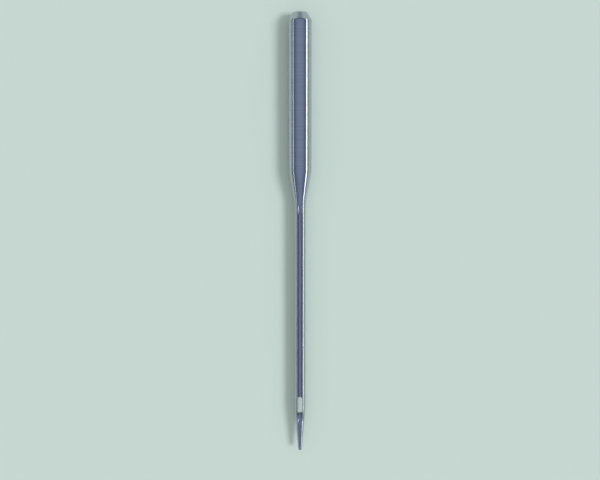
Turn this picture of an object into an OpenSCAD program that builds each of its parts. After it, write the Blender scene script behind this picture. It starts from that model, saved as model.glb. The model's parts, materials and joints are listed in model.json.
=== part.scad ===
// Round-shank needle for a sewing machine, one piece of hardened and plated steel.
// It is shaped upright, with its butt face at height 0 and its point at the top, and
// then laid down: the butt face looks along +Y, the point lies along -Y, the long
// groove faces +Z and the scarf faces -Z. The origin is the middle of the butt face.

/* [Shank] */
// Diameter of the shank, which the machine's needle clamp holds
shank_d = 2.00; // [1.60:0.02:2.40]
// Length from the butt face to the upper end of the shoulder
shank_len = 13.5; // [11:0.1:16]
// Diameter of the butt face, before its rim is rounded off
butt_d = 1.20; // [0.80:0.05:1.50]
// Length of the cone between the butt face and the shank
butt_cone_len = 0.70; // [0.30:0.05:1.20]
// Radius that rounds off both ends of the butt's cone
butt_round = 0.20; // [0.05:0.05:0.30]

/* [Shoulder] */
// Length of the shoulder, where the shank runs down to the blade
shoulder_len = 2.60; // [1.80:0.05:4.00]
// Radius that rounds off both ends of the shoulder
shoulder_round = 4.00; // [1.00:0.25:6.00]

/* [Blade] */
// Diameter of the blade
blade_d = 1.00; // [0.84:0.01:1.20]
// Length from the butt face to the upper end of the eye
butt_to_eye = 33.9; // [31:0.1:37]

/* [Eye] */
// Width of the eye
eye_w = 0.40; // [0.30:0.01:0.46]
// Length of the eye along the blade
eye_len = 1.40; // [0.90:0.05:1.80]
// Angle at which the two ends of the eye are opened out, front and back
eye_flare = 35; // [15:1:45]

/* [Long groove, on the front] */
// How much wider than the eye the long groove is
groove_extra = 0.04; // [0.02:0.01:0.10]
// Depth of the long groove below the front of the blade
groove_depth = 0.38; // [0.25:0.01:0.45]
// Length from the shoulder to where the groove has its full depth
groove_lead_in = 2.40; // [1.80:0.10:4.00]
// Radius of the wheel whose curve brings the groove to the surface at its upper end
groove_wheel_r = 7.50; // [4:0.1:9]
// Radius of the curve in which the groove rises below the eye
groove_foot_r = 1.60; // [0.80:0.05:3.00]

/* [Short groove, on the back] */
// How much wider than the eye the short groove is
short_extra = 0.02; // [0.01:0.01:0.06]
// Depth of the short groove below the back of the blade
short_depth = 0.20; // [0.10:0.01:0.26]
// Radius of the curve in which the short groove rises below the eye
short_foot_r = 2.00; // [1.00:0.05:3.00]

/* [Scarf, on the back] */
// Depth of the scarf below the back of the blade
scarf_depth = 0.30; // [0.15:0.01:0.36]
// Length of the scarf's level floor
scarf_floor = 1.20; // [0.40:0.05:2.00]
// Length over which the scarf runs out towards the shank
scarf_upper_run = 2.60; // [1.50:0.05:3.50]
// Length over which the scarf runs out towards the eye
scarf_lower_run = 0.80; // [0.50:0.05:1.20]
// Length from the lower end of the scarf to the eye
scarf_to_eye = 0.10; // [0.05:0.05:0.50]

/* [Point] */
// Length from the lower end of the eye to the tip
point_len = 3.60; // [3.00:0.05:5.00]
// Length above the lower end of the eye at which the blade starts to thin
taper_start = 0.30; // [0.10:0.05:1.00]
// Radius of the curve that leads from the blade to the cone of the point
taper_round = 14.0; // [4:0.5:20]
// Diameter of the ball that the point ends in
ball_d = 0.32; // [0.20:0.01:0.45]

/* [Hidden] */
$fn = 64;

shank_r = shank_d / 2;
blade_r = blade_d / 2;
ball_r = ball_d / 2;
// Heights above the butt face, in the upright position
shoulder_end_z = shank_len + shoulder_len;
eye_z = butt_to_eye;
eye_end_z = eye_z + eye_len;
ball_z = eye_end_z + point_len - ball_r;
taper_z = eye_end_z - taper_start;
scarf_end_z = eye_z - scarf_to_eye;
scarf_floor_z1 = scarf_end_z - scarf_lower_run;
scarf_floor_z0 = scarf_floor_z1 - scarf_floor;
// Slope of the point's cone, which touches the ball
point_slope = atan2(blade_r, ball_z - taper_z) - asin(ball_r / norm([blade_r, ball_z - taper_z]));
// Reach of a cutting solid past the steel, so that it cuts clean through
past = 1;
// How much thinner than the eye the drill is that opens out its ends
flare_slack = 0.03;

function unit(v) = v / norm(v);

// Where the ball begins, in the plane of radius and height
function ball_point(angle) = [0, ball_z] + ball_r * [cos(angle), sin(angle)];

// Points that round off corner b, between a and c, with radius r in n steps
function round_off(a, b, c, r, n) =
    let (u = unit(a - b), v = unit(c - b), half = acos(u * v) / 2, sweep = 180 - 2 * half)
    let (middle = b + unit(u + v) * r / sin(half))
    let (from = b + u * r / tan(half) - middle, to = b + v * r / tan(half) - middle)
    [for (i = [0:n]) middle + (from * sin(sweep * (1 - i / n)) + to * sin(sweep * i / n)) / sin(sweep)];

// Half of the needle's outline, from the butt face to the tip
function outline() =
    let (butt = [butt_d / 2, 0], cone_end = [shank_r, butt_cone_len])
    let (shoulder = [shank_r, shank_len], shoulder_end = [blade_r, shoulder_end_z])
    let (taper = [blade_r, taper_z])
    concat(
        [[0, 0]],
        round_off([0, 0], butt, cone_end, butt_round, 4),
        round_off(butt, cone_end, shoulder, butt_round, 3),
        round_off(cone_end, shoulder, shoulder_end, shoulder_round, 4),
        round_off(shoulder, shoulder_end, taper, shoulder_round, 4),
        round_off(shoulder_end, taper, ball_point(point_slope), taper_round, 5),
        [for (i = [0:7]) ball_point(point_slope + (90 - point_slope) * i / 7)]);

// The steel as turned, before anything is cut into it
module turned_blank() {
    rotate_extrude() polygon(outline());
}

// Cutting wheel with a round rim, w thick, which stands in the plane of the needle
module wheel(r, w) {
    rotate([0, 90, 0]) rotate_extrude() {
        translate([0, -w / 2]) square([r - w / 2, w]);
        intersection() {
            translate([r - w / 2, 0]) circle(d = w);
            translate([0, -w]) square([r + w, 2 * w]);
        }
    }
}

// Straight stretch of a groove with a round floor, cut into the +Y side from z0 to z1
module channel(floor_y, w, z0, z1) {
    translate([0, floor_y + w / 2, z0]) linear_extrude(z1 - z0) {
        circle(d = w);
        translate([-w / 2, 0]) square([w, blade_r + past]);
    }
}

// The long groove carries the thread down the front of the blade into the eye
module long_groove() {
    w = eye_w + groove_extra;
    floor_y = blade_r - groove_depth;
    top_z = shoulder_end_z + groove_lead_in;
    channel(floor_y, w, top_z, eye_end_z);
    translate([0, floor_y + groove_wheel_r, top_z]) wheel(groove_wheel_r, w);
    translate([0, floor_y + groove_foot_r, eye_end_z]) wheel(groove_foot_r, w);
}

// The short groove leads the thread from the scarf over the back of the eye
module short_groove() {
    w = eye_w + short_extra;
    floor_y = blade_r - short_depth;
    mirror([0, 1, 0]) {
        channel(floor_y, w, scarf_floor_z1 - scarf_floor / 2, eye_end_z);
        translate([0, floor_y + short_foot_r, eye_end_z]) wheel(short_foot_r, w);
    }
}

// The eye: a slot with round ends. Where the thread bends, both ends are drilled aslant
// from the middle of the wall that the two grooves leave, to the front and to the back
module eye() {
    wall_y = (short_depth - groove_depth) / 2;
    upper_z = eye_z + eye_w / 2;
    lower_z = eye_end_z - eye_w / 2;
    translate([0, blade_r + past, 0]) rotate([90, 0, 0]) linear_extrude(blade_d + 2 * past) {
        translate([0, upper_z]) circle(d = eye_w);
        translate([0, lower_z]) circle(d = eye_w);
        translate([-eye_w / 2, upper_z]) square([eye_w, lower_z - upper_z]);
    }
    for (back = [0, 1]) mirror([0, back, 0]) translate([0, back ? -wall_y : wall_y, 0]) {
        translate([0, 0, upper_z]) rotate([-90 - eye_flare, 0, 0]) flare_drill();
        translate([0, 0, lower_z]) rotate([eye_flare - 90, 0, 0]) flare_drill();
    }
}

// Drill that opens out one end of the eye, a little thinner than the eye is wide
module flare_drill() {
    cylinder(h = blade_d, d = eye_w - flare_slack);
}

// Radius of the wheel that rises by the scarf's depth over a given length
function run_out_r(run) = (run * run + scarf_depth * scarf_depth) / (2 * scarf_depth);

// The scarf gives the looper room behind the blade: a level floor between the curves
// that two wheels leave, a long one towards the shank and a short one towards the eye
module scarf() {
    floor_y = scarf_depth - blade_r;
    translate([0, floor_y, scarf_floor_z0]) scarf_wheel(run_out_r(scarf_upper_run));
    translate([0, floor_y, scarf_floor_z1]) scarf_wheel(run_out_r(scarf_lower_run));
    translate([-blade_r - past, floor_y - blade_d - past, scarf_floor_z0])
        cube([blade_d + 2 * past, blade_d + past, scarf_floor]);
}

// Broad wheel that touches the scarf's floor from the back
module scarf_wheel(r) {
    translate([0, -r, 0]) rotate([0, 90, 0])
        cylinder(h = blade_d + 2 * past, r = r, center = true, $fn = 180);
}

module needle() {
    color("lightsteelblue") rotate([90, 0, 0]) difference() {
        turned_blank();
        long_groove();
        short_groove();
        eye();
        scarf();
    }
}

needle();
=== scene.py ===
"""Round-shank sewing machine needle, made as the real one is: turned, cut, punched and polished.

The needle lies along Y. Its butt face is at the origin and looks along +Y, its point lies along
-Y, the long groove faces up and the scarf faces down. A station is a length from the butt face.
Blender works in metres, and the rules for the cuts in millimetres.
"""

import json
import math

import bmesh
import bpy
import numpy as np
from bpy.props import FloatProperty, FloatVectorProperty, IntProperty, PointerProperty
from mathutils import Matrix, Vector


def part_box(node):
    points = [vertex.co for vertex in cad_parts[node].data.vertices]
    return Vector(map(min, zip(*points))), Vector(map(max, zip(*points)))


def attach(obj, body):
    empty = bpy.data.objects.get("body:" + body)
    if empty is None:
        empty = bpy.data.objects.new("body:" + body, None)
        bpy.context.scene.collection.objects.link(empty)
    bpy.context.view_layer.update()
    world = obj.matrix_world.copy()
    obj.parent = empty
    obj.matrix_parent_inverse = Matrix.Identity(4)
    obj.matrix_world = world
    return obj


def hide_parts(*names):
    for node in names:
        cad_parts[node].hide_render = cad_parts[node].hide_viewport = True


bl_info = {
    "name": "Sewing Machine Needle",
    "version": (1, 0, 0),
    "blender": (4, 5, 0),
    "location": "3D View > Sidebar > Needle",
    "description": "Builds a round-shank sewing machine needle and the studio it lies in",
    "category": "Object",
}

MM = 0.001
NODE = "needle"
# Height in millimetres of a cut's floor where there is no cut
OUT_OF_REACH = 10.0
# Two points closer than this are the same point, in metres
TINY = 1e-7

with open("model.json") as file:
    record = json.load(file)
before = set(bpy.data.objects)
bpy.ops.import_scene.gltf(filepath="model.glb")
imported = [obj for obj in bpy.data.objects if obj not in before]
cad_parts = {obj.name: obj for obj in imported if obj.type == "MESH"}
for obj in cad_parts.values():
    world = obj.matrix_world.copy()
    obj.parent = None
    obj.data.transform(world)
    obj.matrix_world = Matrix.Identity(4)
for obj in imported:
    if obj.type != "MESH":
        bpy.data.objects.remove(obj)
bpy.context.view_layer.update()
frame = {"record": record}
NODE_LOW, NODE_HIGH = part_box(NODE)
# The mount that holds the shank tells its radius
SHANK = next(m for m in frame["record"]["mounts"] if m["name"] == "shank")["dims"]

# The stage's lengths are in metres, and its angles are in degrees. A lamp or a flag hangs at an
# angle to the right of the vertical, and the key light's spread is how wide it looks
FLOOR_REACH = 2.0
KEY_ANGLE = 40
KEY_SPREAD = 20
KEY_STRENGTH = 1.62
STRIP_DISTANCE = 0.45
STRIP_LENGTH = 0.7
# Angle, width and watts of each strip light
STRIPS = {"right_strip": (71, 0.07, 0.6), "left_strip": (-71, 0.05, 0.12)}
FLAG_DISTANCE = 0.4
FLAG_LENGTH = 0.9
FLAG_WIDTH = 0.09
# Angle of each flag
FLAGS = {"right_flag": 83.5, "left_flag": -83.5}
# Strength of the world's light from the horizon and from straight above
HORIZON_LIGHT = 0.14
ZENITH_LIGHT = 0.84
# Width and height of the picture, in pixels
PICTURE_W = 600
PICTURE_H = 480


def linear(code):
    """Linear red, green and blue of an sRGB hex colour."""
    channels = [int(code[i:i + 2], 16) / 255 for i in (0, 2, 4)]
    return [c / 12.92 if c <= 0.04045 else ((c + 0.055) / 1.055) ** 2.4 for c in channels]


def add(tree, kind, inputs=None, **settings):
    """Add a node with its settings, and set its inputs or link other nodes' sockets to them."""
    node = tree.nodes.new(kind)
    for name, value in settings.items():
        setattr(node, name, value)
    for socket, value in (inputs or {}).items():
        if isinstance(value, bpy.types.NodeSocket):
            tree.links.new(value, node.inputs[socket])
        else:
            node.inputs[socket].default_value = value
    return node


def length(name, description, millimetres):
    """Length property, with its default in millimetres."""
    return FloatProperty(
        name=name, description=description, default=millimetres * MM, min=0, precision=5,
        subtype="DISTANCE", unit="LENGTH",
    )


def count(name, description, default):
    """Property that counts faces."""
    return IntProperty(name=name, description=description, default=default, min=4)


def colour(name, description, code):
    """Colour property, with its default as an sRGB hex value."""
    return FloatVectorProperty(
        name=name, description=description, default=linear(code), min=0, max=1, subtype="COLOR",
    )


class NeedleSizes(bpy.types.PropertyGroup):
    """Sizes of the needle."""

    shank_d: length("Shank Diameter", "Round shank", 2 * SHANK["r_mm"])
    shank_len: length("Shank Length", "Butt face to shoulder", 13.5)
    butt_d: length("Butt Diameter", "Butt face, before its rim is rounded", 1.2)
    butt_cone_len: length("Butt Cone", "Length of the cone behind the butt face", 0.7)
    butt_round: length("Butt Rounding", "Width of the rounding of the butt's rim", 0.12)
    butt_blend: length("Butt Blend", "Depth over which the cone blends into the shank", 0.03)
    shoulder_len: length("Shoulder Length", "Shank to blade", 2.6)
    shoulder_blend: length("Shoulder Blend", "Depth over which the shoulder blends in", 0.09)
    blade_d: length("Blade Diameter", "The needle's nominal size", 1.0)
    butt_to_eye: length("Butt to Eye", "Butt face to the upper end of the eye", 33.9)
    total_len: length("Overall Length", "Butt face to tip", -NODE_LOW.y / MM)
    eye_w: length("Eye Width", "Across the needle", 0.4)
    eye_len: length("Eye Length", "Along the needle", 1.4)
    eye_flare: FloatProperty(
        name="Eye Flare", description="Slant at which the eye's two ends open out, front and back",
        default=math.radians(35), subtype="ANGLE", unit="ROTATION",
    )
    groove_w: length("Groove Width", "Long groove on the front", 0.44)
    groove_depth: length("Groove Depth", "Below the front of the blade", 0.38)
    groove_lead_in: length("Groove Lead-in", "Shoulder to full depth", 2.4)
    groove_wheel_r: length("Groove Wheel", "Radius at the groove's upper end", 7.5)
    groove_foot_r: length("Groove Foot", "Radius at the groove's lower end", 1.6)
    short_w: length("Short Groove Width", "Groove on the back", 0.42)
    short_depth: length("Short Groove Depth", "Below the back of the blade", 0.2)
    short_foot_r: length("Short Groove Foot", "Radius at its lower end", 2.0)
    scarf_depth: length("Scarf Depth", "Below the back of the blade", 0.3)
    scarf_floor: length("Scarf Floor", "Length of the level floor", 1.2)
    scarf_upper_run: length("Scarf Upper Run", "Run-out towards the shank", 2.6)
    scarf_lower_run: length("Scarf Lower Run", "Run-out towards the eye", 0.8)
    scarf_to_eye: length("Scarf to Eye", "Lower end of the scarf to the eye", 0.1)
    taper_start: length("Taper Start", "Above the lower end of the eye", 0.3)
    taper_blend: length("Taper Blend", "Depth over which the point blends in", 0.04)
    ball_d: length("Ball Diameter", "Ball that the point ends in", 0.32)
    lip_round: length("Lip Rounding", "How far polishing reaches round a cut's lip", 0.05)
    rim_round: length("Eye Rim Rounding", "How far polishing reaches round the eye's rim", 0.08)
    groove_faces: count("Groove Faces", "Faces from the long groove's middle to its lip", 20)
    side_faces: count("Side Faces", "Faces from lip to lip, down one side", 50)
    short_faces: count("Short Groove Faces", "Faces from the short groove's middle to its lip", 16)
    wall_faces: count("Eye Wall Faces", "Faces through the eye's wall", 16)


class NeedleFinish(bpy.types.PropertyGroup):
    """Colours of the plated steel."""

    plating: colour("Plating", "Bright plating on turned and ground steel", "CBCED3")
    cut: colour("Cut Steel", "Plating between the marks that a tool leaves", "AEB2B8")


class StudioSettings(bpy.types.PropertyGroup):
    """The floor, the lamps and the camera."""

    floor: colour("Floor", "Plain pale floor and background", "C6D7D1")
    ceiling: colour("Ceiling", "Cool grey straight overhead, in the middle of the metal", "929FB9")
    wall: colour("Wall", "Darker grey half-way up, which gives the metal its shade", "5D6A87")
    strip: colour("Strip Light", "Cool white of the strip lights", "EFEEFF")
    felt: colour("Felt", "Black felt of the flags beside the needle", "272729")
    tilt: FloatProperty(
        name="Camera Tilt", description="Lean of the camera from the vertical, towards the butt",
        default=math.radians(8), subtype="ANGLE", unit="ROTATION",
    )
    lens: FloatProperty(
        name="Lens", description="Focal length on a sensor 36 mm wide", default=45, unit="CAMERA",
    )
    fill: FloatProperty(
        name="Fill", description="Share of the picture's height that the needle takes", default=0.92,
        subtype="FACTOR",
    )


def setting_names(group):
    """Names of the settings in a property group."""
    return [name for name in group.bl_rna.properties.keys() if name not in ("rna_type", "name")]


def in_millimetres(group):
    """The sizes in a property group, by name, in millimetres. Angles and counts stay as they are."""
    values = {}
    for name in setting_names(group):
        is_length = group.bl_rna.properties[name].subtype == "DISTANCE"
        values[name] = getattr(group, name) / MM if is_length else getattr(group, name)
    return values


def landmarks(size):
    """Stations of the needle's features, by name, with half the eye's wall and the ball's first radius."""
    blade_r = size["blade_d"] / 2
    ball_r = size["ball_d"] / 2
    eye_end = size["butt_to_eye"] + size["eye_len"]
    shoulder_end = size["shank_len"] + size["shoulder_len"]
    scarf_low = size["butt_to_eye"] - size["scarf_to_eye"] - size["scarf_lower_run"]
    scarf_high = scarf_low - size["scarf_floor"]
    taper = eye_end - size["taper_start"]
    ball = size["total_len"] - ball_r
    # The eye goes through what both grooves leave of the blade, and is opened out from the middle
    half_wall = blade_r - (size["groove_depth"] + size["short_depth"]) / 2
    flare_reach = half_wall * math.tan(size["eye_flare"])
    slope = math.atan2(blade_r, ball - taper) - math.asin(ball_r / math.hypot(blade_r, ball - taper))
    return {
        "shoulder_end": shoulder_end,
        "groove_full": shoulder_end + size["groove_lead_in"],
        "scarf_start": scarf_high - size["scarf_upper_run"],
        "scarf_high": scarf_high,
        "scarf_low": scarf_low,
        "eye_start": size["butt_to_eye"],
        "eye_end": eye_end,
        "half_wall": half_wall,
        "rim_start": size["butt_to_eye"] - flare_reach,
        "rim_end": eye_end + flare_reach,
        # Both grooves have run out by here
        "cuts_end": eye_end + flare_reach + 1.0,
        "taper": taper,
        "ball": ball,
        "ball_start": ball + ball_r * math.sin(slope),
        "ball_start_r": ball_r * math.cos(slope),
    }


def round_end(start, end, steps=8):
    """Stations over a quarter circle, packed where it turns square to the needle, at its start."""
    return [start + (end - start) * (1 - math.cos(math.pi / 2 * i / steps)) for i in range(steps)]


def ring_stations(size, mark):
    """Stations of the needle's rings: few where it runs straight, many where it is cut."""
    # How far the blends reach from the shoulder's ends, and the eye's round ends from its tips
    blend, rim_r = 0.7, 0.22
    # Stations past the butt's rounded rim, past its cone, short of the scarf and past all the cuts
    past_rim = size["butt_round"] + 0.08
    past_cone = size["butt_cone_len"] + 0.3
    near_scarf = mark["scarf_start"] - 0.1
    past_cuts = mark["cuts_end"] + 0.1
    # Start, end and number of faces of each stretch from the butt to the eye
    stretches = (
        (0, past_rim, 1),
        (past_rim, past_cone, 14),
        (past_cone, size["shank_len"] - blend, 18),
        (size["shank_len"] - blend, size["shank_len"] + blend, 22),
        (size["shank_len"] + blend, mark["shoulder_end"] - blend, 8),
        (mark["shoulder_end"] - blend, mark["groove_full"], 60),
        (mark["groove_full"], near_scarf, 24),
        (near_scarf, mark["scarf_high"], 48),
        (mark["scarf_high"], mark["scarf_low"], 10),
        (mark["scarf_low"], mark["rim_start"], 30),
    )
    rings = [s for start, end, faces in stretches for s in np.linspace(start, end, faces, False)]
    rings += round_end(mark["rim_start"], mark["rim_start"] + rim_r)
    rings += np.linspace(mark["rim_start"] + rim_r, mark["rim_end"] - rim_r, 28).tolist()
    rings += reversed(round_end(mark["rim_end"], mark["rim_end"] - rim_r))
    rings += np.linspace(mark["rim_end"], past_cuts, 42)[1:].tolist()
    rings += np.linspace(past_cuts, mark["ball_start"], 22)[1:-1].tolist()
    ball_r = size["ball_d"] / 2
    turns = np.linspace(math.acos(mark["ball_start_r"] / ball_r), math.pi / 2, 12)
    rings += [mark["ball"] + ball_r * math.sin(turn) for turn in turns]
    return np.array(rings)


def faces_round(size):
    """Faces from the middle of the front to the middle of the back, round one side."""
    return size["groove_faces"] + size["side_faces"] + size["short_faces"]


def blank_sizes(size, mark):
    """The blank's named sizes, in metres."""
    millimetres = {
        "Butt Radius": size["butt_d"] / 2, "Butt Cone": size["butt_cone_len"],
        "Butt Blend": size["butt_blend"], "Shank Radius": size["shank_d"] / 2,
        "Shank Length": size["shank_len"], "Shoulder End": mark["shoulder_end"],
        "Shoulder Blend": size["shoulder_blend"], "Blade Radius": size["blade_d"] / 2,
        "Taper Start": mark["taper"], "Taper Blend": size["taper_blend"],
        "Ball Start": mark["ball_start"], "Ball Start Radius": mark["ball_start_r"],
        "Ball Centre": mark["ball"], "Ball Radius": size["ball_d"] / 2,
    }
    return {name: value * MM for name, value in millimetres.items()}


def blank_tree(names):
    """Geometry nodes that give each station its turned radius, and spin the stations into the blank."""
    tree = bpy.data.node_groups.new("Turned Blank", "GeometryNodeTree")
    sockets = tree.interface
    sockets.new_socket("Stations", in_out="INPUT", socket_type="NodeSocketGeometry")
    for name in names:
        sockets.new_socket(name, in_out="INPUT", socket_type="NodeSocketFloat")
    sockets.new_socket("Columns", in_out="INPUT", socket_type="NodeSocketInt")
    sockets.new_socket("Material", in_out="INPUT", socket_type="NodeSocketMaterial")
    sockets.new_socket("Blank", in_out="OUTPUT", socket_type="NodeSocketGeometry")
    given = add(tree, "NodeGroupInput").outputs
    place = add(tree, "GeometryNodeInputPosition").outputs[0]
    along = add(tree, "ShaderNodeSeparateXYZ", {0: place}).outputs["Y"]
    station = add(tree, "ShaderNodeMath", {0: along, 1: -1.0}, operation="MULTIPLY").outputs[0]
    # The butt's cone, the shoulder and the point are straight, and blend into the shank and the blade
    cone = add(tree, "ShaderNodeMapRange", {
        "Value": station, "From Min": 0.0, "From Max": given["Butt Cone"],
        "To Min": given["Butt Radius"], "To Max": given["Shank Radius"],
    }, clamp=False).outputs[0]
    shoulder = add(tree, "ShaderNodeMapRange", {
        "Value": station, "From Min": given["Shank Length"], "From Max": given["Shoulder End"],
        "To Min": given["Shank Radius"], "To Max": given["Blade Radius"],
    }, clamp=False).outputs[0]
    point = add(tree, "ShaderNodeMapRange", {
        "Value": station, "From Min": given["Taper Start"], "From Max": given["Ball Start"],
        "To Min": given["Blade Radius"], "To Max": given["Ball Start Radius"],
    }, clamp=False).outputs[0]
    radius = cone
    for operation, other, blend in (
        ("SMOOTH_MIN", given["Shank Radius"], given["Butt Blend"]),
        ("SMOOTH_MIN", shoulder, given["Shoulder Blend"]),
        ("SMOOTH_MAX", given["Blade Radius"], given["Shoulder Blend"]),
        ("SMOOTH_MIN", point, given["Taper Blend"]),
    ):
        radius = add(tree, "ShaderNodeMath", {
            0: radius, 1: other, 2: blend,
        }, operation=operation).outputs[0]
    # The ball's radius at a station is the other leg of a triangle with its radius as the long side
    past = add(tree, "ShaderNodeMath", {
        0: station, 1: given["Ball Centre"],
    }, operation="SUBTRACT").outputs[0]
    longer = add(tree, "ShaderNodeMath", {
        0: given["Ball Radius"], 1: past,
    }, operation="ADD").outputs[0]
    shorter = add(tree, "ShaderNodeMath", {
        0: given["Ball Radius"], 1: past,
    }, operation="SUBTRACT").outputs[0]
    squared = add(tree, "ShaderNodeMath", {
        0: longer, 1: shorter,
    }, operation="MULTIPLY").outputs[0]
    ball = add(tree, "ShaderNodeMath", {0: squared}, operation="SQRT").outputs[0]
    on_ball = add(tree, "FunctionNodeCompare", {0: station, 1: given["Ball Start"]}).outputs[0]
    radius = add(tree, "GeometryNodeSwitch", {
        "Switch": on_ball, "False": radius, "True": ball,
    }, input_type="FLOAT").outputs[0]
    axis = add(tree, "GeometryNodeMeshToCurve", {0: given["Stations"]}).outputs[0]
    circle = add(tree, "GeometryNodeCurvePrimitiveCircle", {
        "Resolution": given["Columns"], "Radius": 1.0,
    }).outputs[0]
    # A quarter turn puts one column in the middle of the front, and so one in the middle of the back
    circle = add(tree, "GeometryNodeTransform", {
        0: circle, "Rotation": (0, 0, math.pi / 2),
    }).outputs[0]
    blank = add(tree, "GeometryNodeCurveToMesh", {
        "Curve": axis, "Profile Curve": circle, "Scale": radius, "Fill Caps": True,
    }).outputs[0]
    blank = add(tree, "GeometryNodeRealizeInstances", {0: blank}).outputs[0]
    blank = add(tree, "GeometryNodeSetMaterial", {0: blank, "Material": given["Material"]}).outputs[0]
    add(tree, "NodeGroupOutput", {0: blank})
    return tree


def turn_blank(size, mark, rings, columns, material):
    """The blank as a plain mesh, one ring of vertices after another."""
    axis = bpy.data.meshes.new("stations")
    steps = [(i, i + 1) for i in range(len(rings) - 1)]
    axis.from_pydata([(0, -s * MM, 0) for s in rings], steps, [])
    blank = bpy.data.objects.new("blank", axis)
    bpy.context.collection.objects.link(blank)
    named = blank_sizes(size, mark)
    spin = blank.modifiers.new("Turned Blank", "NODES")
    spin.node_group = blank_tree(named)
    values = {**named, "Columns": columns, "Material": material}
    for item in spin.node_group.interface.items_tree:
        if item.in_out == "INPUT" and item.name in values:
            spin[item.identifier] = values[item.name]
    graph = bpy.context.evaluated_depsgraph_get()
    mesh = bpy.data.meshes.new_from_object(blank.evaluated_get(graph))
    bpy.data.objects.remove(blank)
    return mesh


def blank_radii(blank, rings, columns):
    """Radius of the blank at each ring, in millimetres."""
    points = np.array([vert.co for vert in blank.vertices]).reshape(len(rings), columns, 3) / MM
    radii = np.hypot(points[:, 0, 0], points[:, 0, 2])
    # The last ring is the tip
    radii[-1] = 0
    return radii


def wheel_rise(past, radius):
    """How far a wheel's rim has risen at a distance past its lowest point."""
    within = np.clip(past, 0, radius)
    return np.where(past < radius, radius - np.sqrt(radius ** 2 - within ** 2), OUT_OF_REACH)


def run_out_radius(run, depth):
    """Radius of the wheel that rises by a depth over a run."""
    return (run ** 2 + depth ** 2) / (2 * depth)


def slot_distance(x, z, floor, radius):
    """Distance from a slot that has a round floor and is open above it."""
    middle = floor + radius
    return np.where(z > middle, x - radius, np.hypot(x, z - middle) - radius)


def soft_max(a, b, blend):
    """The greater value, eased where the two come within a blend of each other."""
    overlap = np.maximum(blend - np.abs(a - b), 0) / blend
    return np.maximum(a, b) + overlap ** 2 * blend / 4


def lip_half(floor, slot_r, blank_r):
    """Half the width between the lips of a slot with a round floor, cut into a round blank."""
    middle = floor + slot_r
    # Height at which the slot's circle crosses the blank's, unless the slot's walls cross it
    crossing = (blank_r ** 2 - slot_r ** 2 + middle ** 2) / (2 * middle)
    return slot_r if crossing > middle else math.sqrt(max(blank_r ** 2 - crossing ** 2, 0))


def ease(value, start, end):
    """Share from 0 to 1 that a value has run from a start to an end, eased at both."""
    share = np.clip((value - start) / (end - start), 0, 1)
    return share ** 2 * (3 - 2 * share)


def lay_faces(x, z, shares):
    """Points of an outline at the given shares of its length."""
    reach = np.concatenate(([0], np.cumsum(np.hypot(np.diff(x), np.diff(z)))))
    return np.column_stack([np.interp(shares * reach[-1], reach, line) for line in (x, z)])


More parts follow.
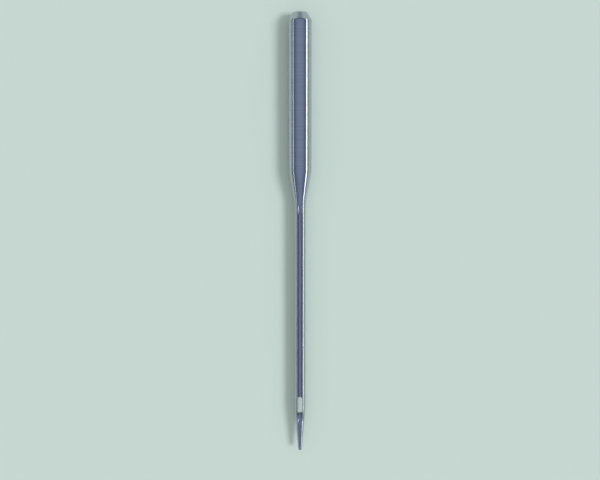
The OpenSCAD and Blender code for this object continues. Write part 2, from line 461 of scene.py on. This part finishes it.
class Steel:
    """The steel that the cuts leave of the blank: x across, z to the front, s from the butt face."""

    def __init__(self, size, mark, rings, radii):
        self.size = size
        self.mark = mark
        self.rings = rings
        self.radii = radii
        self.blade_r = size["blade_d"] / 2
        self.groove_r = size["groove_w"] / 2
        self.short_r = size["short_w"] / 2
        self.eye_r = size["eye_w"] / 2
        self.wall_z = (size["short_depth"] - size["groove_depth"]) / 2

    def radius(self, s):
        """Radius of the blank."""
        return np.interp(s, self.rings, self.radii)

    def outer(self, x, s):
        """Height of the turned surface above the axis."""
        return np.sqrt(np.maximum(self.radius(s) ** 2 - x ** 2, 0))

    def groove_floor(self, s):
        """Height of the long groove's floor."""
        above = wheel_rise(self.mark["groove_full"] - s, self.size["groove_wheel_r"])
        below = wheel_rise(s - self.mark["eye_end"], self.size["groove_foot_r"])
        return self.blade_r - self.size["groove_depth"] + above + below

    def short_floor(self, s):
        """Depth of the short groove's floor behind the axis. It begins in the open, over the scarf."""
        begun = s > (self.mark["scarf_high"] + self.mark["scarf_low"]) / 2
        below = wheel_rise(s - self.mark["eye_end"], self.size["short_foot_r"])
        return np.where(begun, self.blade_r - self.size["short_depth"] + below, OUT_OF_REACH)

    def scarf_z(self, s):
        """Height of the scarf's surface, which lies behind the axis."""
        depth = self.size["scarf_depth"]
        upper_r = run_out_radius(self.size["scarf_upper_run"], depth)
        lower_r = run_out_radius(self.size["scarf_lower_run"], depth)
        upper = wheel_rise(self.mark["scarf_high"] - s, upper_r)
        return depth - self.blade_r - upper - wheel_rise(s - self.mark["scarf_low"], lower_r)

    def past_sides(self, s, out):
        """How far a station lies past the eye's straight sides, at a height out from its waist."""
        flare = self.size["eye_flare"]
        middle = (self.mark["eye_start"] + self.mark["eye_end"]) / 2
        past_end = np.abs(s - middle) - self.size["eye_len"] / 2
        past = self.eye_r + past_end * math.cos(flare) - out * math.sin(flare)
        return np.maximum(past, 0)

    def eye_distance(self, x, z, s):
        """Distance from the eye, a slot whose round ends slant out from a waist to both faces."""
        out = soft_max(z - self.wall_z, self.wall_z - z, 2 * self.size["lip_round"])
        return np.hypot(x, self.past_sides(s, out)) - self.eye_r

    def opening_half(self, s):
        """Half of the width of the eye where it opens into the floor of a groove."""
        return math.sqrt(max(self.eye_r ** 2 - self.past_sides(s, self.mark["half_wall"]) ** 2, 0))

    def lip_turn(self, s, floor, slot_r, faces, least=0.6):
        """Turn from a groove's middle to its lip. Where there is no groove, the faces spread evenly."""
        # Where a groove runs out, its lips stay apart by a least share of its width
        lip = max(lip_half(floor, slot_r, self.radius(s)), least * slot_r)
        # The columns gather at the lips along the shoulder, and spread again below the grooves
        gathered = ease(s, self.size["shank_len"], self.mark["shoulder_end"])
        gathered *= ease(s, self.mark["cuts_end"] + 1.2, self.mark["cuts_end"])
        even_turn = math.pi * faces / faces_round(self.size)
        return gathered * math.atan2(lip, self.outer(lip, s)) + (1 - gathered) * even_turn

    def groove_outline(self, s, floor, slot_r, lip_turn, faces, points=80, bunching=1.3):
        """Half of a groove's outline, from its middle or the edge of the eye to its lip."""
        lip = self.radius(s) * math.sin(lip_turn)
        x = np.linspace(self.opening_half(s), lip, points)
        round_floor = floor + slot_r - np.sqrt(np.maximum(slot_r ** 2 - x ** 2, 0))
        z = np.minimum(round_floor, self.outer(x, s))
        # The last point is the lip itself, at the top of the groove's wall
        x, z = np.append(x, lip), np.append(z, self.outer(lip, s))
        # The faces are finer near the lip
        return lay_faces(x, z, 1 - np.linspace(1, 0, faces + 1) ** bunching)

    def half_section(self, s, bunching=0.6):
        """One side of the cross-section, from the middle of the front to the middle of the back."""
        size = self.size
        floor, behind = self.groove_floor(s), self.short_floor(s)
        front_turn = self.lip_turn(s, floor, self.groove_r, size["groove_faces"])
        back_turn = self.lip_turn(s, behind, self.short_r, size["short_faces"])
        front = self.groove_outline(s, floor, self.groove_r, front_turn, size["groove_faces"])
        back = self.groove_outline(s, behind, self.short_r, back_turn, size["short_faces"])
        # The side's faces are finer near the lips
        share = np.linspace(0, 1, size["side_faces"] + 1)
        share = share - bunching * np.sin(math.tau * share) / math.tau
        turn = front_turn + (math.pi - back_turn - front_turn) * share
        side = self.radius(s) * np.column_stack((np.sin(turn), np.cos(turn)))
        section = np.concatenate((front[:-1], side, back[-2::-1] * (1, -1)))
        section[:, 1] = np.maximum(section[:, 1], self.scarf_z(s))
        return section

    def surfaces(self, points):
        """How far points lie outside the turned surface, and how deep in the air of each cut."""
        x, z, s = np.abs(points[:, 0]), points[:, 1], points[:, 2]
        groove = slot_distance(x, z, self.groove_floor(s), self.groove_r)
        short = slot_distance(x, -z, self.short_floor(s), self.short_r)
        eye = self.eye_distance(x, z, s)
        return np.array([np.hypot(x, z) - self.radius(s), -groove, -short, self.scarf_z(s) - z, -eye])

    def distance(self, points):
        """Distance outside the polished steel, with the lips and the eye's rims rounded off."""
        solid, *cuts, eye = self.surfaces(points)
        for cut_air in cuts:
            solid = soft_max(solid, cut_air, self.size["lip_round"])
        return soft_max(solid, eye, self.size["rim_round"])

    def strip_places(self, strip, points, middles):
        """Places of faces' corners on a strip of the map. The faces' middles tell their side."""
        x, z, s = np.abs(points[:, 0]), points[:, 1], points[:, 2]
        side = np.sign(middles[:, 0])
        if strip == "butt":
            return points[:, :2]
        if strip == "eye":
            past_middle = s - (self.mark["eye_start"] + self.mark["eye_end"]) / 2
            turn = np.arctan2(x / self.eye_r, past_middle / (self.size["eye_len"] / 2))
            return np.column_stack((side * turn, z))
        if strip in ("groove", "short_groove"):
            # The turn goes on up the groove's wall, above the middle of its round floor
            front = strip == "groove"
            slot_r = self.groove_r if front else self.short_r
            height = z - self.groove_floor(s) if front else -z - self.short_floor(s)
            rise = height / slot_r - 1
            turn = np.where(rise < 0, np.arctan2(x / slot_r, -rise), math.pi / 2 + rise)
            return np.column_stack((s, side * turn))
        steps = np.hypot(np.diff(self.rings), np.diff(self.radii))
        along = np.interp(s, self.rings, np.concatenate(([0], np.cumsum(steps))))
        # The rounding of the butt's rim lies inside its cone
        inside = np.maximum(self.radius(s) - np.hypot(x, z), 0)
        along -= np.where(s < self.size["butt_round"], inside, 0)
        # The tip has no turn of its own
        at_tip = np.hypot(x, z) < TINY / MM
        turn = np.where(at_tip, np.arctan2(np.abs(middles[:, 0]), middles[:, 1]), np.arctan2(x, z))
        return np.column_stack((along, side * turn))

    def polish(self, points, passes=10, share=0.6, step=1e-3, least_slope=0.25):
        """Points drawn onto the polished surface, by a share of their distance at each pass."""
        for _ in range(passes):
            shifts = np.eye(3) * step
            rises = [self.distance(points + way) - self.distance(points - way) for way in shifts]
            slope = np.transpose(rises) / (2 * step)
            # Where two surfaces meet the slope nearly vanishes, and a least one keeps the points near
            steepness = np.maximum((slope ** 2).sum(axis=1), least_slope)
            points = points - slope * (share * self.distance(points) / steepness)[:, None]
        return points


def places_of(vectors):
    """Places across, to the front and along the needle, in millimetres."""
    return np.array([(vector.x, vector.z, -vector.y) for vector in vectors]) / MM


def slit_eye(bm, mark):
    """Slit the blank along the middle of its front and back, where the eye goes through."""
    low, high = -mark["rim_end"] * MM - TINY, -mark["rim_start"] * MM + TINY
    seam = [e for e in bm.edges if all(abs(v.co.x) < TINY and low < v.co.y < high for v in e.verts)]
    bmesh.ops.split_edges(bm, edges=seam)


def cut_sections(bm, steel):
    """Move each ring's vertices onto the outline that the cuts leave at its station."""
    sections = [steel.half_section(s) for s in steel.rings]
    half = len(sections[0]) - 1
    for vert in bm.verts:
        # Two vertices share each place along the slit, and only their faces tell their side
        side = math.copysign(1, sum(face.calc_center_median().x for face in vert.link_faces))
        ring = int(np.abs(steel.rings + vert.co.y / MM).argmin())
        column = round(abs(math.atan2(vert.co.x, vert.co.z)) / math.pi * half)
        across, up = sections[ring][column]
        vert.co = (side * across * MM, vert.co.y, up * MM)


def punch_eye(bm, wall_faces):
    """Join the front slit to the back one with the eye's wall."""
    rims = [edge for edge in bm.edges if edge.is_boundary]
    wall = bmesh.ops.bridge_loops(bm, edges=rims)
    bmesh.ops.subdivide_edges(bm, edges=wall["edges"], cuts=wall_faces - 1, use_grid_fill=False)


def polish(bm, steel, rounds=6):
    """Draw the vertices onto the polished surface, and even out the faces of the cuts."""
    mark = steel.mark
    # The butt face and the ball stay as they are turned
    turned = [v for v in bm.verts if TINY < -v.co.y < mark["ball_start"] * MM - TINY]
    # The first of the cuts begins a little below the shoulder's end
    low, high = (mark["shoulder_end"] + 0.2) * MM, mark["cuts_end"] * MM
    cut = [v for v in turned if low < -v.co.y < high]
    for moved in [turned] + [cut] * rounds:
        if moved is cut:
            bmesh.ops.smooth_vert(
                bm, verts=cut, factor=0.5, use_axis_x=True, use_axis_y=True, use_axis_z=True,
            )
        points = places_of([v.co for v in moved])
        for vert, (x, z, s) in zip(moved, steel.polish(points) * MM):
            vert.co = (x, -s, z)


def close_ends(bm, steel):
    """Round off the rim of the butt face, and draw the last ring together at the tip."""
    tip = [vert for vert in bm.verts if vert.co.y < NODE_LOW.y + TINY]
    bmesh.ops.remove_doubles(bm, verts=tip, dist=TINY)
    rim = [edge for edge in bm.edges if all(vert.co.y > -TINY for vert in edge.verts)]
    bmesh.ops.bevel(
        bm, geom=rim, offset=steel.size["butt_round"] * MM, segments=6, profile=0.5, affect="EDGES",
    )


def spacing(x, y, z):
    """Scale of a pattern whose features lie so many millimetres apart along x, y and z."""
    return [1 / (apart * MM) for apart in (x, y, z)]


def begin_material(name):
    """New material, with its tree and its Object coordinates."""
    material = bpy.data.materials.new(name)
    material.use_nodes = True
    material.node_tree.nodes.clear()
    place = add(material.node_tree, "ShaderNodeTexCoord").outputs["Object"]
    return material, material.node_tree, place


def plate(tree, finish, marks, roughness, relief):
    """Bright plating over the marks of a tool. The high ones are paler and rougher, by their height."""
    tone = add(tree, "ShaderNodeMix", {
        "Factor": marks, "A": [*finish.cut, 1], "B": [*finish.plating, 1],
    }, data_type="RGBA").outputs["Result"]
    rough = add(tree, "ShaderNodeMapRange", {
        "Value": marks, "To Min": roughness[0], "To Max": roughness[1],
    }).outputs[0]
    normal = add(tree, "ShaderNodeBump", {"Height": marks, "Distance": relief * MM}).outputs[0]
    shader = add(tree, "ShaderNodeBsdfPrincipled", {
        "Base Color": tone, "Metallic": 1.0, "Roughness": rough, "Normal": normal,
    }).outputs[0]
    add(tree, "ShaderNodeOutputMaterial", {"Surface": shader})


def ground_shank_steel(finish):
    """Nickel-plated steel, centreless ground. Fine lines run round it, and soften what it mirrors."""
    material, tree, place = begin_material("ground_shank_steel")
    # The wheel leaves lines about 0.02 mm apart. They are drawn 0.12 mm apart, so that they show
    lines = add(tree, "ShaderNodeMapping", {"Vector": place, "Scale": spacing(4, 0.12, 4)}).outputs[0]
    grind = add(tree, "ShaderNodeTexNoise", {"Vector": lines, "Scale": 1.0, "Detail": 3.0}).outputs["Fac"]
    plate(tree, finish, grind, roughness=(0.11, 0.19), relief=0.0004)
    return material


def polished_blade_steel(finish):
    """Nickel-plated steel, drawn and polished lengthwise. It mirrors sharply across and is hazy along."""
    material, tree, place = begin_material("polished_blade_steel")
    # Polishing leaves hairlines of a few microns. They are drawn 0.08 mm apart, so that they show
    lines = add(tree, "ShaderNodeMapping", {"Vector": place, "Scale": spacing(0.08, 4, 0.08)}).outputs[0]
    hair = add(tree, "ShaderNodeTexNoise", {"Vector": lines, "Scale": 1.0, "Detail": 2.0}).outputs["Fac"]
    plate(tree, finish, hair, roughness=(0.1, 0.2), relief=0.0003)
    return material


def milled_groove_steel(finish):
    """Steel cut by a wheel and then plated. The wheel's marks run lengthwise and keep it duller."""
    material, tree, place = begin_material("milled_groove_steel")
    # The wheel's marks lie about 0.01 mm apart. They are drawn 0.06 mm apart, so that they show
    lines = add(tree, "ShaderNodeMapping", {"Vector": place, "Scale": spacing(0.06, 1.5, 0.06)}).outputs[0]
    marks = add(tree, "ShaderNodeTexNoise", {"Vector": lines, "Scale": 1.0, "Detail": 3.0}).outputs["Fac"]
    plate(tree, finish, marks, roughness=(0.2, 0.36), relief=0.0006)
    return material


def ground_scarf_steel(finish):
    """Steel ground flat by a broad wheel and then plated. Its straight marks catch a soft sheen."""
    material, tree, place = begin_material("ground_scarf_steel")
    # The wheel's marks lie about 0.02 mm apart. They are drawn 0.07 mm apart, so that they show
    lines = add(tree, "ShaderNodeMapping", {"Vector": place, "Scale": spacing(0.07, 3, 0.5)}).outputs[0]
    marks = add(tree, "ShaderNodeTexNoise", {"Vector": lines, "Scale": 1.0, "Detail": 2.0}).outputs["Fac"]
    plate(tree, finish, marks, roughness=(0.18, 0.34), relief=0.0006)
    return material


def polished_eye_steel(finish):
    """Steel polished by a thread drawn through the eye. It is the brightest surface of the needle."""
    material, tree, place = begin_material("polished_eye_steel")
    soft = add(tree, "ShaderNodeMapping", {"Vector": place, "Scale": spacing(0.2, 0.2, 0.2)}).outputs[0]
    soft = add(tree, "ShaderNodeTexNoise", {"Vector": soft, "Scale": 1.0}).outputs["Fac"]
    rough = add(tree, "ShaderNodeMapRange", {"Value": soft, "To Min": 0.16, "To Max": 0.24}).outputs[0]
    shader = add(tree, "ShaderNodeBsdfPrincipled", {
        "Base Color": [*finish.plating, 1], "Metallic": 1.0, "Roughness": rough,
    }).outputs[0]
    add(tree, "ShaderNodeOutputMaterial", {"Surface": shader})
    return material


def faced_butt_steel(finish):
    """Plated steel, faced off square. The facing tool leaves rings round the middle."""
    material, tree, place = begin_material("faced_butt_steel")
    # The rings are drawn 0.06 mm apart. A wave texture has a ring every tau / 20 of its scale
    rings = add(tree, "ShaderNodeTexWave", {
        "Vector": place, "Scale": math.tau / 20 / (0.06 * MM), "Distortion": 0.4, "Detail Scale": 0.5,
    }, wave_type="RINGS", rings_direction="Y").outputs["Fac"]
    plate(tree, finish, rings, roughness=(0.2, 0.34), relief=0.0008)
    return material


# The needle's finishes, in the order of its material slots
FINISHES = (
    ground_shank_steel, polished_blade_steel, milled_groove_steel, ground_scarf_steel,
    polished_eye_steel, faced_butt_steel,
)
# Strip of the map and finish of each surface, in the order of Steel.surfaces
SURFACES = (
    ("blade", polished_blade_steel), ("groove", milled_groove_steel),
    ("short_groove", milled_groove_steel), ("blade", ground_scarf_steel), ("eye", polished_eye_steel),
)
# Lower left and upper right corner of each strip, as shares of the map. A strip is as tall as its
# surface is wide, and the gaps keep the strips' textures apart
MAP_STRIPS = {
    "shank": ((0.006, 0.006), (0.994, 0.468)), "blade": ((0.006, 0.480), (0.994, 0.768)),
    "groove": ((0.006, 0.780), (0.994, 0.878)), "short_groove": ((0.006, 0.890), (0.440, 0.994)),
    "eye": ((0.452, 0.890), (0.878, 0.994)), "butt": ((0.890, 0.890), (0.994, 0.994)),
}


def lay_out_surfaces(bm, steel):
    """Shade the faces smooth, give each the finish of its surface, and unwrap them strip by strip."""
    # The needle's own map for baking its textures goes under this name. The export
    # looks for a piece's own map under this name
    layer = bm.loops.layers.uv.new("OFBake")
    middles = places_of([face.calc_center_median() for face in bm.faces])
    nearest = np.abs(steel.surfaces(middles)).argmin(axis=0)
    strips = {strip: [] for strip in MAP_STRIPS}
    for face, surface, middle in zip(bm.faces, nearest, middles):
        strip, finish = SURFACES[surface]
        if strip == "blade" and middle[2] < steel.mark["shoulder_end"]:
            strip, finish = "shank", ground_shank_steel
        if middle[2] < TINY / MM:
            strip, finish = "butt", faced_butt_steel
        face.smooth = True
        face.material_index = FINISHES.index(finish)
        strips[strip] += [(loop, middle) for loop in face.loops]
    for strip, corners in strips.items():
        loops = [loop for loop, _ in corners]
        points = places_of([loop.vert.co for loop in loops])
        places = steel.strip_places(strip, points, np.array([middle for _, middle in corners]))
        lowest, highest = places.min(axis=0), places.max(axis=0)
        low, high = (np.array(corner) for corner in MAP_STRIPS[strip])
        places = low + (places - lowest) / (highest - lowest) * (high - low)
        for loop, place in zip(loops, places):
            loop[layer].uv = place


def cut_blank(mesh, steel):
    """Make the needle of the blank: cut its grooves and scarf, punch its eye and polish it."""
    bm = bmesh.new()
    bm.from_mesh(mesh)
    slit_eye(bm, steel.mark)
    cut_sections(bm, steel)
    punch_eye(bm, steel.size["wall_faces"])
    polish(bm, steel)
    close_ends(bm, steel)
    bmesh.ops.recalc_face_normals(bm, faces=bm.faces)
    lay_out_surfaces(bm, steel)
    bm.to_mesh(mesh)
    bm.free()


class NEEDLE_OT_needle(bpy.types.Operator):
    """Turn, cut, punch and polish the needle"""

    bl_idname = "needle.make_needle"
    bl_label = "Needle"

    def execute(self, context):
        size = in_millimetres(context.scene.needle_sizes)
        mark = landmarks(size)
        rings = ring_stations(size, mark)
        columns = 2 * faces_round(size)
        materials = [finish(context.scene.needle_finish) for finish in FINISHES]
        mesh = turn_blank(size, mark, rings, columns, materials[0])
        mesh.name = "plated_needle"
        for material in materials[1:]:
            mesh.materials.append(material)
        cut_blank(mesh, Steel(size, mark, rings, blank_radii(mesh, rings, columns)))
        needle = bpy.data.objects.new("plated_needle", mesh)
        context.collection.objects.link(needle)
        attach(needle, "root")
        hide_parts(NODE)
        return {"FINISHED"}


def needle_middle():
    """Middle of the needle's axis."""
    return Vector((0, (NODE_LOW.y + NODE_HIGH.y) / 2, 0))


def flat_piece(name, middle, across, along, material):
    """Rectangle of the stage, from its middle and the ways from there to two of its sides."""
    corners = [middle + x * across + y * along for x, y in ((-1, -1), (1, -1), (1, 1), (-1, 1))]
    mesh = bpy.data.meshes.new(name)
    mesh.from_pydata(corners, [], [range(4)])
    mesh.materials.append(material)
    piece = bpy.data.objects.new(name, mesh)
    bpy.context.collection.objects.link(piece)
    return piece


def matt_board(settings):
    """Matt pale board. It scatters light evenly and mirrors nothing, so its far edge doesn't show."""
    material, tree, _ = begin_material("matt_board")
    shader = add(tree, "ShaderNodeBsdfDiffuse", {"Color": [*settings.floor, 1]}).outputs[0]
    add(tree, "ShaderNodeOutputMaterial", {"Surface": shader})
    return material


def black_felt(settings):
    """Black felt of the flags, which give the metal its dark bands."""
    material, tree, _ = begin_material("black_felt")
    shader = add(tree, "ShaderNodeBsdfDiffuse", {"Color": [*settings.felt, 1]}).outputs[0]
    add(tree, "ShaderNodeOutputMaterial", {"Surface": shader})
    return material


def light_world(settings):
    """White light, most of it from above. Seen or mirrored, the floor's colour turns grey higher up."""
    world = bpy.data.worlds.new("studio")
    world.use_nodes = True
    tree = world.node_tree
    tree.nodes.clear()
    rays = add(tree, "ShaderNodeLightPath").outputs
    seen = rays["Is Camera Ray"]
    for ray in ("Is Glossy Ray", "Is Transmission Ray"):
        seen = add(tree, "ShaderNodeMath", {0: seen, 1: rays[ray]}, operation="MAXIMUM").outputs[0]
    direction = add(tree, "ShaderNodeTexCoord").outputs["Generated"]
    up = add(tree, "ShaderNodeSeparateXYZ", {0: direction}).outputs["Z"]
    dome = [*settings.floor, 1]
    # Each shade comes in from a low height to a high one. The horizon is at 0, straight above is 1
    for shade, low, high in ((settings.wall, 0.2, 0.5), (settings.ceiling, 0.5, 1.0)):
        height = add(tree, "ShaderNodeMapRange", {
            "Value": up, "From Min": low, "From Max": high,
        }, interpolation_type="SMOOTHSTEP").outputs[0]
        dome = add(tree, "ShaderNodeMix", {
            "Factor": height, "A": dome, "B": [*shade, 1],
        }, data_type="RGBA").outputs["Result"]
    strength = add(tree, "ShaderNodeMapRange", {
        "Value": up, "To Min": HORIZON_LIGHT, "To Max": ZENITH_LIGHT,
    }).outputs[0]
    light = add(tree, "ShaderNodeBackground", {"Color": [1, 1, 1, 1], "Strength": strength}).outputs[0]
    backdrop = add(tree, "ShaderNodeBackground", {"Color": dome, "Strength": 1.0}).outputs[0]
    both = add(tree, "ShaderNodeMixShader", {0: seen, 1: light, 2: backdrop}).outputs[0]
    add(tree, "ShaderNodeOutputWorld", {"Surface": both})
    bpy.context.scene.world = world


def overhead(angle, distance):
    """Place at an angle from the vertical, to the right, seen from the needle's middle."""
    return needle_middle() + distance * Vector((math.sin(angle), 0, math.cos(angle)))


def hang_key():
    """Broad key light from the right, which casts the needle's soft shadow on the floor."""
    lamp = bpy.data.lights.new("key", "SUN")
    lamp.angle = math.radians(KEY_SPREAD)
    lamp.energy = KEY_STRENGTH
    key = bpy.data.objects.new("key", lamp)
    key.rotation_euler = (0, math.radians(KEY_ANGLE), 0)
    key.visible_glossy = False
    bpy.context.collection.objects.link(key)


def hang_strip(name, angle, width, power, tint):
    """Strip light along the needle, aimed at its middle. Only the metal shows it, as a thin streak."""
    lamp = bpy.data.lights.new(name, "AREA")
    lamp.shape = "RECTANGLE"
    lamp.size = width
    lamp.size_y = STRIP_LENGTH
    lamp.energy = power
    lamp.color = tint
    strip = bpy.data.objects.new(name, lamp)
    strip.location = overhead(angle, STRIP_DISTANCE)
    strip.rotation_euler = (0, angle, 0)
    strip.visible_camera = strip.visible_diffuse = False
    bpy.context.collection.objects.link(strip)


def hang_flag(name, angle, felt):
    """Black flag along the needle, square to the line from its middle. Only the metal shows it."""
    across = Vector((math.cos(angle), 0, -math.sin(angle))) * FLAG_WIDTH / 2
    along = Vector((0, FLAG_LENGTH / 2, 0))
    flag = flat_piece(name, overhead(angle, FLAG_DISTANCE), across, along, felt)
    flag.visible_camera = flag.visible_diffuse = flag.visible_shadow = False


def set_camera(settings):
    """Camera that looks down on the needle, leaning towards its butt, with the butt at the top."""
    camera = bpy.data.cameras.new("camera")
    camera.lens = settings.lens
    camera.clip_start = MM
    # Height of what is seen at a distance of 1
    height = camera.sensor_width * PICTURE_H / PICTURE_W / camera.lens
    distance = (NODE_HIGH.y - NODE_LOW.y) / settings.fill / height
    view = bpy.data.objects.new("camera", camera)
    lean = Vector((0, math.sin(settings.tilt), math.cos(settings.tilt)))
    view.location = needle_middle() + distance * lean
    view.rotation_euler = (-settings.tilt, 0, 0)
    bpy.context.collection.objects.link(view)
    bpy.context.scene.camera = view


class NEEDLE_OT_stage(bpy.types.Operator):
    """Lay the floor, hang the lamps and the flags, and set the camera"""

    bl_idname = "needle.make_stage"
    bl_label = "Stage"

    def execute(self, context):
        settings = context.scene.needle_studio
        # The shank lies on the floor
        middle = Vector((0, 0, -context.scene.needle_sizes.shank_d / 2))
        across, along = Vector((FLOOR_REACH, 0, 0)), Vector((0, FLOOR_REACH, 0))
        flat_piece("floor", middle, across, along, matt_board(settings))
        light_world(settings)
        hang_key()
        for name, (angle, width, power) in STRIPS.items():
            hang_strip(name, math.radians(angle), width, power, settings.strip)
        felt = black_felt(settings)
        for name, angle in FLAGS.items():
            hang_flag(name, math.radians(angle), felt)
        set_camera(settings)
        context.scene.view_settings.view_transform = "Standard"
        return {"FINISHED"}


class NEEDLE_PT_panel(bpy.types.Panel):
    """Sizes, colours and operators of the needle and its stage"""

    bl_label = "Sewing Machine Needle"
    bl_idname = "NEEDLE_PT_panel"
    bl_space_type = "VIEW_3D"
    bl_region_type = "UI"
    bl_category = "Needle"

    def draw(self, context):
        scene = context.scene
        for operator, *groups in (
            (NEEDLE_OT_needle, scene.needle_sizes, scene.needle_finish),
            (NEEDLE_OT_stage, scene.needle_studio),
        ):
            self.layout.operator(operator.bl_idname)
            for group in groups:
                for name in setting_names(group):
                    self.layout.prop(group, name)


CLASSES = (NeedleSizes, NeedleFinish, StudioSettings, NEEDLE_OT_needle, NEEDLE_OT_stage, NEEDLE_PT_panel)


def register():
    """Register the classes and hang the settings on the scene."""
    for cls in CLASSES:
        bpy.utils.register_class(cls)
    bpy.types.Scene.needle_sizes = PointerProperty(type=NeedleSizes)
    bpy.types.Scene.needle_finish = PointerProperty(type=NeedleFinish)
    bpy.types.Scene.needle_studio = PointerProperty(type=StudioSettings)


def unregister():
    """Take the settings off the scene and unregister the classes."""
    del bpy.types.Scene.needle_studio
    del bpy.types.Scene.needle_finish
    del bpy.types.Scene.needle_sizes
    for cls in reversed(CLASSES):
        bpy.utils.unregister_class(cls)


def main():
    """Build the needle and its stage."""
    register()
    bpy.ops.needle.make_needle()
    bpy.ops.needle.make_stage()


if __name__ == "__main__":
    main()
